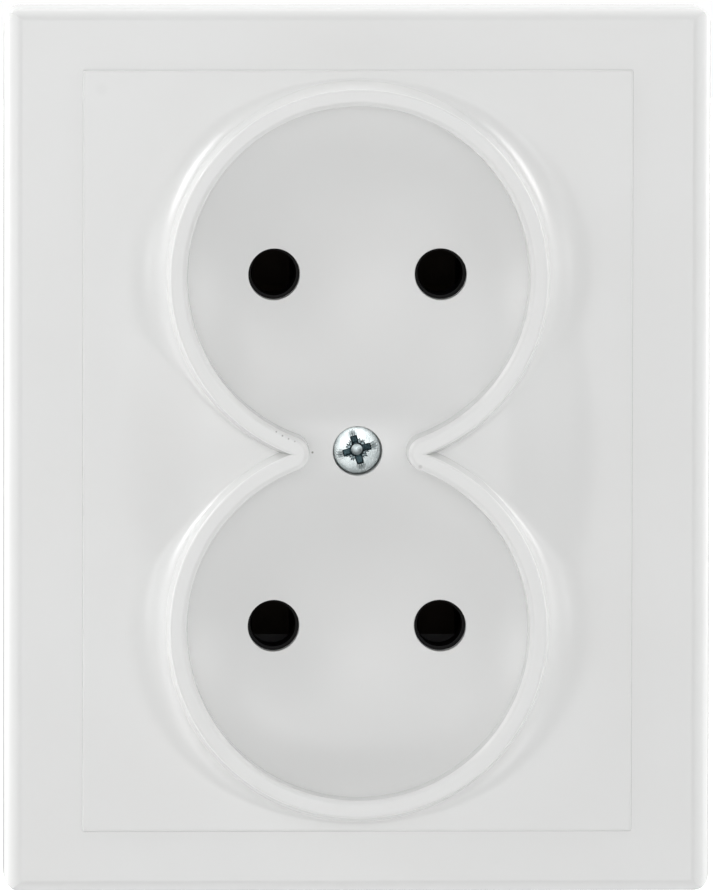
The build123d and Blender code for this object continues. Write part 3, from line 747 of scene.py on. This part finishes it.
@dataclass
class CoverMoulding:
    """Centre plate with its figure-of-eight rim, wells, pin holes and the screw's counterbore."""

    half_width: float = 31.345
    half_height: float = 43.545
    corner: float = 0.31
    edge: float = 0.3
    plate: float = 8.28
    skirt: float = 4.0
    under: float = 6.0
    wall: float = 1.5
    top: float = 12.5
    well_y: float = 20.1
    radius: float = 21.5
    well_radius: float = 19.55
    tip_radius: float = 1.95
    inner_draft: float = 0.35 / 6.5
    outer_draft: float = 0.85 / 4.5
    inner_round: float = 0.65
    outer_round: float = 0.3
    pin_x: float = 9.5
    pin_radius: float = 2.95
    pin_round: float = 0.15
    bore_radius: float = 2.82
    bore_floor: float = 4.5
    boss_radius: float = 4.225
    boss_end: float = 2.6
    shank_radius: float = 1.65
    skin: float = 1.8
    floor: WellFloor = field(default_factory=WellFloor)
    relief: PlateRelief = field(default_factory=PlateRelief)
    sheets: Sheets = field(default_factory=Sheets)

    def half_size(self, margin: float) -> Array:
        """Half the plate's width and height, less a margin."""
        return np.array((self.half_width, self.half_height)) - margin

    def inner_edge(self) -> Arrays:
        """Outline of the cavity at the top, anticlockwise from the right tip.

        Returns:
            The outline's points and the directions into the cavity.
        """
        turn = math.acos(math.sqrt(self.radius**2 - self.well_y**2) / self.radius)
        tip_x = self.radius * math.cos(turn)
        tip = np.linspace(math.pi, math.pi - turn, 24)[:-1]
        arc = np.linspace(-turn, math.pi + turn, 420)
        left = np.linspace(turn, 0, 24)[1:]
        points = [
            spokes(tip) * self.tip_radius + (tip_x, 0),
            spokes(arc) * self.well_radius + (0, self.well_y),
            spokes(left) * self.tip_radius - (tip_x, 0),
        ]
        into = [spokes(tip), -spokes(arc), spokes(left)]
        return whole(np.concatenate(points)), whole(np.concatenate(into))

    def add_cavity(self) -> Array:
        """Lay the rim's inner rounding, the well walls and the dished floors.

        Returns:
            The inner outline of the rim's land.
        """
        base, into = self.inner_edge()
        slant = math.atan(self.inner_draft)
        centre = self.inner_draft * self.inner_round - self.inner_round / math.cos(slant)
        rows, normals = [], []
        for angle in np.linspace(math.pi / 2, slant, 10):
            out = centre + self.inner_round * math.cos(angle)
            level = self.top + self.inner_round * (math.sin(angle) - 1)
            rows.append(at_level(base + into * out, level))
            normals.append(at_level(into * math.cos(angle), math.sin(angle)))
        foot = np.full(len(base), self.under)
        for _ in range(12):
            out = (self.inner_draft * (self.top - foot))[:, None]
            foot = self.floor.level(*(base + into * out).T)[0]
        start = rows[-1][:, 2]
        for share in np.linspace(0, 1, 7)[1:]:
            level = start + (foot - start) * share
            out = (self.inner_draft * (self.top - level))[:, None]
            rows.append(at_level(base + into * out, level))
            normals.append(normals[9])
        self.sheets.grid(closed(rows), closed(normals))
        self.add_floor(rows[-1][:, :2])
        return rows[0][:, :2]

    def add_floor(self, outline: Array) -> None:
        """Lay the dished floors with their holes.

        Args:
            outline: Foot of the well walls.
        """
        hole = self.pin_radius + self.pin_round
        pins = [(x, y) for x in (-self.pin_x, self.pin_x) for y in (-self.well_y, self.well_y)]
        bore = self.bore_radius + self.pin_round
        points, faces = filled(outline, [ring(hole, *pin) for pin in pins] + [ring(bore)], 0.5)
        level, normal = self.floor.level(*points.T)
        self.sheets.add(at_level(points, level), normal, faces)
        for pin in pins:
            self.add_hole(pin, self.pin_radius, None)
        self.add_hole((0, 0), self.bore_radius, self.bore_floor)

    def add_hole(self, centre: Pair, radius: float, bottom: float | None) -> None:
        """Lay the rounded mouth and the wall of a hole in the floor.

        Args:
            centre: The hole's axis.
            radius: Its radius.
            bottom: Level where it ends, or None to end under the floor.
        """
        outer = closed([ring(radius + self.pin_round, *centre)])[0]
        level, slope = self.floor.level(*outer.T)
        spoke = (outer - centre) / (radius + self.pin_round)
        rows, normals = [], []
        for angle in np.linspace(math.pi / 2, 0, 6):
            place = centre + spoke * (radius + self.pin_round * (1 - math.cos(angle)))
            rows.append(at_level(place, level - self.pin_round * (1 - math.sin(angle))))
            facing = at_level(-spoke * math.cos(angle), math.sin(angle))
            normals.append(facing + slope * math.sin(angle))
        end = level - self.skin if bottom is None else bottom
        rows.append(at_level(rows[-1][:, :2], end))
        normals.append(normals[-1])
        self.sheets.grid(np.stack(rows), np.stack(normals))

    def ray_angles(self) -> Array:
        """Directions of rays from the upper well's centre, closer at the plate's corners."""
        start = -math.asin(self.well_y / (self.radius + self.outer_run(math.pi / 2)))
        angles = [np.linspace(start, math.pi - start, 560)]
        for x in (-1, 1):
            corner = math.atan2(self.half_height - self.well_y, x * self.half_width)
            angles.append(corner + np.linspace(-0.014, 0.014, 11))
            side = math.atan2(-self.well_y, x * (self.half_width - self.edge))
            angles.append(np.array([side if x > 0 else side + 2 * math.pi]))
        return np.unique(np.concatenate(angles))

    def outer_run(self, angle: float) -> float:
        """How far the rim's outer rounding stands beyond the rim's radius."""
        slant = math.atan(self.outer_draft)
        centre = self.outer_draft * self.outer_round - self.outer_round / math.cos(slant)
        return centre + self.outer_round * math.cos(angle)

    def ray_ends(self, angles: Array) -> Array:
        """Length of each ray to the start of the plate's edge or to the waist's level."""
        cosine, sine = np.cos(angles), np.sin(angles)
        near, far = np.full(len(angles), 20.0), np.full(len(angles), 60.0)
        core, inner = self.half_size(self.corner), self.corner - self.edge
        for _ in range(50):
            half = (near + far) / 2
            x, y = np.abs(half * cosine), half * sine + self.well_y
            over_x, over_y = x - core[0], np.abs(y) - core[1]
            off = np.hypot(np.maximum(over_x, 0), np.maximum(over_y, 0))
            beyond = off + np.minimum(np.maximum(over_x, over_y), 0) > inner
            beyond |= y < 0
            near, far = np.where(beyond, near, half), np.where(beyond, half, far)
        return (near + far) / 2

    def add_outside(self, land: Array) -> None:
        """Lay the rim's outer rounding and wall, the face of the plate and its edges.

        Args:
            land: Inner outline of the rim's land.
        """
        angles = self.ray_angles()
        ends = self.ray_ends(angles)
        spoke = spokes(angles)
        hub = (0, self.well_y)
        slant = math.atan(self.outer_draft)
        wall_start = self.radius + self.outer_run(slant)
        near, far = np.full(len(angles), wall_start), np.full(len(angles), self.radius + 0.9)
        for _ in range(40):
            half = (near + far) / 2
            spot = spoke * half[:, None] + hub
            level = self.relief.level(*spot.T)[0]
            above = self.top - (half - self.radius) / self.outer_draft > level
            near, far = np.where(above, half, near), np.where(above, far, half)
        foot = (near + far) / 2
        rows, normals = [], []
        for angle in np.linspace(math.pi / 2, slant, 7):
            reach = np.minimum(self.radius + self.outer_run(angle), ends)
            off = (reach - self.radius - self.outer_run(math.pi / 2)) / self.outer_round
            off = np.clip(off, 0, math.cos(slant))
            rise = np.sqrt(1 - off**2)
            level = self.top - self.outer_round * (1 - rise)
            rows.append(at_level(spoke * reach[:, None] + hub, level))
            normals.append(at_level(spoke * off[:, None], rise))
        for share in np.linspace(0, 1, 6)[1:]:
            reach = np.minimum(wall_start + (foot - wall_start) * share, ends)
            level = np.minimum(self.top - (reach - self.radius) / self.outer_draft, rows[-1][:, 2])
            rows.append(at_level(spoke * reach[:, None] + hub, level))
            normals.append(at_level(spoke * math.cos(slant), math.sin(slant)))
        self.sheets.twin(np.stack(rows), np.stack(normals))
        self.add_land(rows[0][:, :2], land)
        share = np.linspace(0, 1, 46)[:, None] ** 1.3
        reach = np.minimum(foot + (ends - foot) * share, ends)
        x, y = reach * spoke[:, 0], reach * spoke[:, 1] + self.well_y
        level, normal = self.relief.level(x, y)
        self.sheets.twin(np.stack([x, y, level], axis=-1), normal)
        self.add_edge(np.stack([x[-1], y[-1]], axis=1))

    def add_land(self, outer: Array, inner: Array) -> None:
        """Lay the flat top of the rim.

        Args:
            outer: Upper half of its outer outline, from one side of the waist to the other.
            inner: Its inner outline, round both wells.
        """
        points, faces = filled(whole(outer), [inner], 40.0)
        self.sheets.add(at_level(points, self.top), UP, faces)

    def add_edge(self, border: Array) -> None:
        """Lay the plate's rounded edge, its skirt and the inside of the skirt.

        Args:
            border: Ends of the rays, of which those at the plate's edge are used.
        """
        border = border[border[:, 1] > 1e-3]
        first, last = border[0].copy(), border[-1].copy()
        first[1] = last[1] = 0.0
        border = np.concatenate([[first], border, [last]])
        reach = self.half_size(self.corner)
        core = np.clip(border, -reach, reach)
        out = (border - core) / np.linalg.norm(border - core, axis=1, keepdims=True)
        core, out = self.round_corners(core, out)
        border = core + out * (self.corner - self.edge)
        rows, normals = [], []
        for angle in np.linspace(math.pi / 2, 0, 5):
            level = self.plate - self.edge * (1 - math.sin(angle))
            rows.append(at_level(border + out * self.edge * math.cos(angle), level))
            normals.append(at_level(out * math.cos(angle), math.sin(angle)))
        brim = rows[-1]
        square = core + out * self.corner / np.abs(out).max(axis=1, keepdims=True)
        self.sheets.twin(np.stack([brim, at_level(square, brim[:, 2])]), UP)
        low = at_level(brim[:, :2], self.skirt)
        rows.append(low)
        normals.append(normals[-1])
        self.sheets.twin(np.stack(rows), np.stack(normals))
        within = self.half_size(self.wall)
        lip = at_level(np.clip(low[:, :2], -within, within), self.skirt)
        self.sheets.twin(np.stack([low, lip]), -UP)
        high = at_level(lip[:, :2], self.under)
        self.sheets.twin(np.stack([lip, high]), at_level(-out, 0.0))

    def round_corners(self, core: Array, out: Array) -> Arrays:
        """Put a fan of points round each of the plate's upper corners.

        Args:
            core: Centres of the edge's rounding, from the right side over the top to the left.
            out: Directions outwards.

        Returns:
            The centres and directions with the fans.
        """
        side = np.flatnonzero(np.abs(out[:, 0]) > 0.99)
        top = np.flatnonzero(np.abs(out[:, 1]) > 0.99)
        right, left = side[side < top[0]], side[side > top[-1]]
        fan = np.linspace(0, math.pi / 2, 9)
        turns = [spokes(turn) for turn in (fan, fan + math.pi / 2)]
        centre = self.half_size(self.corner)
        corners = [np.broadcast_to(centre * (sign, 1), (len(fan), 2)) for sign in (1, -1)]
        cores = [core[right], corners[0], core[top], corners[1], core[left]]
        outs = [out[right], turns[0], out[top], turns[1], out[left]]
        return np.concatenate(cores), np.concatenate(outs)

    def add_underside(self) -> None:
        """Lay the back of the plate, the bulges under the wells and the screw boss."""
        outer = self.floor.dish + self.skin
        bulge = math.sqrt(outer**2 - (self.floor.centre_z - self.under) ** 2)
        outline = self.half_size(self.wall) * ((1, 1), (-1, 1), (-1, -1), (1, -1))
        wells = [(0.0, self.well_y), (0.0, -self.well_y)]
        holes = [ring(bulge, *well) for well in wells] + [ring(self.boss_radius)]
        points, faces = filled(outline, holes, 60.0)
        self.sheets.add(at_level(points, self.under), -UP, faces)
        for x, y in wells:
            holes = [ring(self.pin_radius, side * self.pin_x, y) for side in (-1, 1)]
            points, faces = filled(ring(bulge, x, y), holes, 1.5)
            off = points - (x, y)
            drop = np.sqrt(outer**2 - (off**2).sum(axis=1))
            level = self.floor.centre_z - drop
            self.sheets.add(at_level(points, level), at_level(off, -drop), faces)
        boss = [
            (self.boss_radius, self.under),
            (self.boss_radius, self.boss_end),
            (self.shank_radius, self.boss_end),
            (self.shank_radius, self.bore_floor),
            (self.bore_radius, self.bore_floor),
        ]
        self.sheets.lathe(boss)

    def build(self, finish: bpy.types.Material) -> bpy.types.Object:
        """Build the moulding in place of the solid one.

        Args:
            finish: Its material.

        Returns:
            The dressed piece.
        """
        self.add_outside(self.add_cavity())
        self.add_underside()
        piece = self.sheets.build("cover_moulding")
        piece.data.materials.append(finish)
        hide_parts("cover_plate")
        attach(piece, "socket_body")
        return piece


@dataclass
class CoverScrew:
    """Plated screw in the waist, with a driver-worn cross recess in its domed head."""

    radius: float = 2.72
    top: float = 6.3
    seat: float = 4.5
    crown: float = 0.2
    lip: float = 0.12
    shank: float = 1.5
    tip: float = 0.5
    end: float = -8.0
    turn: float = 15.0
    depth: float = 1.15
    hub: float = 0.8
    hub_rise: float = 0.55
    arm_reach: float = 1.6
    arm_half: float = 0.42
    star_reach: float = 1.75
    star_half: float = 0.3
    star_depth: float = 0.4
    torn_waves: tuple[Triple, ...] = ((13, 0, 1.0), (29, 1, 1.0), (47, 2, 0.8))
    torn_reach: float = 1.12
    torn_swing: float = 0.1
    torn_depth: float = 0.3
    worn: float = 0.05
    worn_reach: float = 1.9
    worn_lines: int = 44
    worn_turn: float = 0.32
    soft: float = 0.12
    sheets: Sheets = field(default_factory=Sheets)

    def within(self, gap: Array) -> Array:
        """1 where a gap is positive and 0 where it is negative, with a soft step between."""
        return np.clip(0.5 + gap / self.soft, 0, 1)

    def head_level(self, x: Array, y: Array) -> Arrays:
        """Level of the head's face.

        Args:
            x: Places across.
            y: Places up.

        Returns:
            The levels, with the recess cut in, and a mask of painted shade and wear, 0 to 1: darker
            deeper in the recess, lighter on the hub, with the driver's chatter marks near the arms.
        """
        distance = np.hypot(x, y)
        level = self.top - self.crown * (distance / self.radius) ** 2
        rounding = np.clip((distance - self.radius + self.lip) / self.lip, 0, 1)
        level = level - self.lip * (1 - np.sqrt(1 - rounding**2))
        angle = math.radians(self.turn)
        along = x * math.cos(angle) + y * math.sin(angle)
        over = y * math.cos(angle) - x * math.sin(angle)
        cut = self.within(self.hub - distance) * self.depth
        for run, side in ((along, over), (over, along)):
            taper = self.arm_half * (1 - 0.2 * np.abs(run) / self.arm_reach)
            floor = self.depth * np.clip(1.25 - 0.75 * np.abs(run) / self.arm_reach, 0, 1)
            arm = self.within(taper - np.abs(side)) * self.within(self.arm_reach - np.abs(run))
            cut = np.maximum(cut, arm * floor)
        for run, side in ((along + over, along - over), (along - over, along + over)):
            wedge = self.star_half * (1 - np.abs(run) / self.star_reach)
            cut = np.maximum(cut, self.within(wedge - np.abs(side)) * self.star_depth * self.depth)
        bite = np.arctan2(over, along)
        ragged = sum(size * np.sin(bite * count + lag) for count, lag, size in self.torn_waves)
        torn = self.within(self.torn_reach + self.torn_swing * ragged - distance)
        cut = np.maximum(cut, torn * self.torn_depth * self.depth)
        dome = np.clip((self.hub - distance) / 0.14, 0, 1) * (1 - 0.25 * (distance / self.hub) ** 2)
        band = np.clip(1 - np.abs(distance - self.worn_reach) / 0.5, 0, 1)
        chatter = np.sin(bite * self.worn_lines) * band
        off_arm = np.abs(np.mod(bite + math.pi / 4, math.pi / 2) - math.pi / 4)
        near_arm = np.clip(1 - off_arm / self.worn_turn, 0, 1)
        # Painted shade: the mask darkens the recess by its depth, less on the hub, and adds the
        # driver's chatter marks as wear.
        shade_and_wear = np.clip(cut / (self.star_depth * self.depth), 0, 1)
        shade_and_wear = shade_and_wear * np.where(distance < 0.74, 0.4, 1)
        shade_and_wear = np.maximum(shade_and_wear, 0.7 * (chatter > 0.2) * near_arm)
        return level - cut + self.hub_rise * dome - self.worn * chatter * near_arm, shade_and_wear

    def build(self, finish: bpy.types.Material) -> bpy.types.Object:
        """Build the screw in place of the solid one.

        Args:
            finish: Its material.

        Returns:
            The dressed piece.
        """
        angle = np.linspace(0, 2 * np.pi, 289)
        flat = self.radius - self.lip
        bend = np.sin(np.linspace(0, np.pi / 2, 9)[1:])
        reach = np.concatenate([np.linspace(1e-3, flat, 84), flat + self.lip * bend])
        x, y = reach[:, None] * np.cos(angle), reach[:, None] * np.sin(angle)
        gap = 0.01
        level, shade_and_wear = self.head_level(x, y)
        slope_x = (self.head_level(x + gap, y)[0] - self.head_level(x - gap, y)[0]) / (2 * gap)
        slope_y = (self.head_level(x, y + gap)[0] - self.head_level(x, y - gap)[0]) / (2 * gap)
        normals = np.stack([-slope_x, -slope_y, np.ones_like(x)], axis=-1)
        self.sheets.grid(np.stack([x, y, level], axis=-1), normals)
        side = [
            (self.radius, float(level[-1, 0])),
            (self.radius, self.seat),
            (self.shank, self.seat),
            (self.shank, self.end + self.tip),
            (self.shank - self.tip, self.end),
            (1e-3, self.end),
        ]
        self.sheets.lathe(side)
        piece = self.sheets.build("cover_screw_head")
        # The recess attribute carries the mask of painted shade and wear.
        shade = piece.data.attributes.new("recess", "FLOAT", "POINT")
        values = np.zeros(len(piece.data.vertices), np.float32)
        values[: shade_and_wear.size] = shade_and_wear.ravel()
        shade.data.foreach_set("value", values)
        piece.data.materials.append(finish)
        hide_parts("cover_screw")
        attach(piece, "socket_body")
        return piece


@dataclass(frozen=True)
class SoftLamp:
    """Round lamp that fades towards its edge and faces the socket. Angles are in degrees."""

    azimuth: float
    elevation: float
    width: float
    strength: float
    distance: float = 1.2

    def hang(self) -> None:
        """Hang the lamp and turn it to the socket."""
        away = direction(self.azimuth, self.elevation)
        lamp = bpy.data.lights.new("soft_lamp", "AREA")
        lamp.shape = "DISK"
        lamp.size = 2 * self.distance * math.tan(math.radians(self.width / 2))
        lamp.energy = self.strength * (lamp.size / 2 * math.pi) ** 2
        rig = bpy.data.objects.new("soft_lamp", lamp)
        rig.location = away * self.distance
        rig.rotation_mode = "QUATERNION"
        rig.rotation_quaternion = away.to_track_quat("Z", "Y")
        rig.visible_camera = False
        bpy.context.scene.collection.objects.link(rig)
        lamp.use_nodes = True
        tree = lamp.node_tree
        place = tree.nodes.new("ShaderNodeTexCoord")
        place.object = rig
        reach = tree.nodes.new("ShaderNodeVectorMath")
        reach.operation = "LENGTH"
        fade = tree.nodes.new("ShaderNodeMapRange")
        fade.interpolation_type = "SMOOTHERSTEP"
        for name, value in (("From Max", lamp.size / 2), ("To Min", 1.0), ("To Max", 0.0)):
            fade.inputs[name].default_value = value
        tree.links.new(place.outputs["Object"], reach.inputs[0])
        tree.links.new(reach.outputs["Value"], fade.inputs["Value"])
        tree.links.new(fade.outputs["Result"], tree.nodes["Emission"].inputs["Strength"])


LAMP_ROWS = (
    (-112, 5, 40, 7.5), (112, 5, 40, 6.5), (0, 112, 40, 1.8),
    (0, -112, 40, 2.2), (-88, 32, 50, 9.58), (90, 32, 50, 8.0),
    (0, 0, 26, 3.15), (21, 12, 26, 2.47), (-42, 0, 26, 2.19),
    (7, 12, 26, 2.13), (42, 0, 26, 1.97), (-7, -12, 26, 1.83),
    (-21, 12, 26, 1.69), (60, -45, 50, 1.69), (-7, 12, 26, 1.54),
    (-85, -28, 50, 1.47), (7, -12, 26, 1.46), (-60, -45, 50, 1.31),
    (-14, 0, 26, 1.22), (90, 2, 50, 0.71), (-88, 2, 50, 0.47),
)


def ray_share(tree: bpy.types.NodeTree, *kinds: str) -> Socket:
    """Value that is 1 for rays of some kinds and 0 for others.

    Args:
        tree: Nodes to add to.
        *kinds: Kinds of rays.

    Returns:
        The value's socket.
    """
    path = tree.nodes.new("ShaderNodeLightPath")
    share = path.outputs[f"Is {kinds[0]} Ray"]
    for kind in kinds[1:]:
        most = tree.nodes.new("ShaderNodeMath")
        most.operation = "MAXIMUM"
        tree.links.new(share, most.inputs[0])
        tree.links.new(path.outputs[f"Is {kind} Ray"], most.inputs[1])
        share = most.outputs["Value"]
    return share


@dataclass
class Studio:
    """Pale floor, soft light and the camera of the photograph."""

    azimuth: float = -2.0
    elevation: float = 5.0
    distance: float = 3.0
    roll: float = 0.002
    aim: Triple = (0.00016, 0.0, 0.0)
    view_height: float = 0.10165
    floor_level: float = -1.0
    floor_half: float = 14.0
    sky: float = 0.477

    def add_camera(self) -> None:
        """Put a long lens at the photograph's viewing angle."""
        camera = bpy.data.cameras.new("camera")
        rig = bpy.data.objects.new("camera", camera)
        bpy.context.scene.collection.objects.link(rig)
        back = direction(self.azimuth, self.elevation)
        rig.location = Vector(self.aim) + back * self.distance
        rig.rotation_mode = "QUATERNION"
        roll = Quaternion((0, 0, 1), self.roll)
        rig.rotation_quaternion = (-back).to_track_quat("-Z", "Y") @ roll
        camera.sensor_width = 36.0
        camera.lens = camera.sensor_width * self.distance / self.view_height
        camera.dof.use_dof = False
        bpy.context.scene.camera = rig

    def add_floor(self) -> None:
        """Lay a wide pale floor."""
        mesh = bpy.data.meshes.new("floor")
        turns = ((-1, -1), (1, -1), (1, 1), (-1, 1))
        corners = [(x * self.floor_half, y * self.floor_half, 0) for x, y in turns]
        mesh.from_pydata(corners, [], [(0, 1, 2, 3)])
        floor = bpy.data.objects.new("floor", mesh)
        floor.location.z = self.floor_level
        bpy.context.scene.collection.objects.link(floor)
        desk = NodeDesk("pale_floor")
        paint = desk.add("ShaderNodeBsdfDiffuse", Color=(0.8, 0.8, 0.8, 1))
        seen = ray_share(desk.tree, "Camera", "Transmission")
        glow = desk.add("ShaderNodeEmission", Color=(1, 1, 1, 1), Strength=seen)
        both = desk.add("ShaderNodeAddShader")
        desk.tree.links.new(paint.outputs[0], both.inputs[0])
        desk.tree.links.new(glow.outputs[0], both.inputs[1])
        desk.tree.links.new(both.outputs[0], desk.output.inputs["Surface"])
        mesh.materials.append(desk.material)

    def light(self) -> None:
        """Light the socket from all round, on a white ground."""
        world = bpy.data.worlds.new("studio")
        bpy.context.scene.world = world
        world.use_nodes = True
        tree = world.node_tree
        level = tree.nodes.new("ShaderNodeMapRange")
        level.inputs["To Min"].default_value = self.sky
        tree.links.new(ray_share(tree, "Camera", "Glossy", "Transmission"), level.inputs["Value"])
        tree.nodes["Background"].inputs["Color"].default_value = (1, 1, 1, 1)
        tree.links.new(level.outputs["Result"], tree.nodes["Background"].inputs["Strength"])
        for row in LAMP_ROWS:
            SoftLamp(*row).hang()


def main() -> None:
    """Build the looks piece by piece."""
    logging.basicConfig(level=logging.INFO, format="%(message)s")
    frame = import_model()
    bpy.context.scene.view_settings.view_transform = "Standard"
    shelf = FinishShelf()
    shelf.stock()
    studio = Studio()
    studio.add_camera()
    studio.add_floor()
    studio.light()
    slot_of = {part["node"]: part["material_slot"] for part in frame["record"]["subparts"]}
    for name, node in frame["nodes"].items():
        shelf.dress(node, Finish(slot_of[name]), HOLE_SHADE_FINISH.get(name))
        LOG.info("dressed %s", name)
    cover = CoverMoulding().build(WhiteMoulding("marked_moulding", marks=COVER_MARKS).make())
    LOG.info("built %s with %d faces", cover.name, len(cover.data.polygons))
    screw = CoverScrew().build(ScrewHeadWearAndShade().make())
    LOG.info("built %s with %d faces", screw.name, len(screw.data.polygons))


if __name__ == "__main__":
    main()
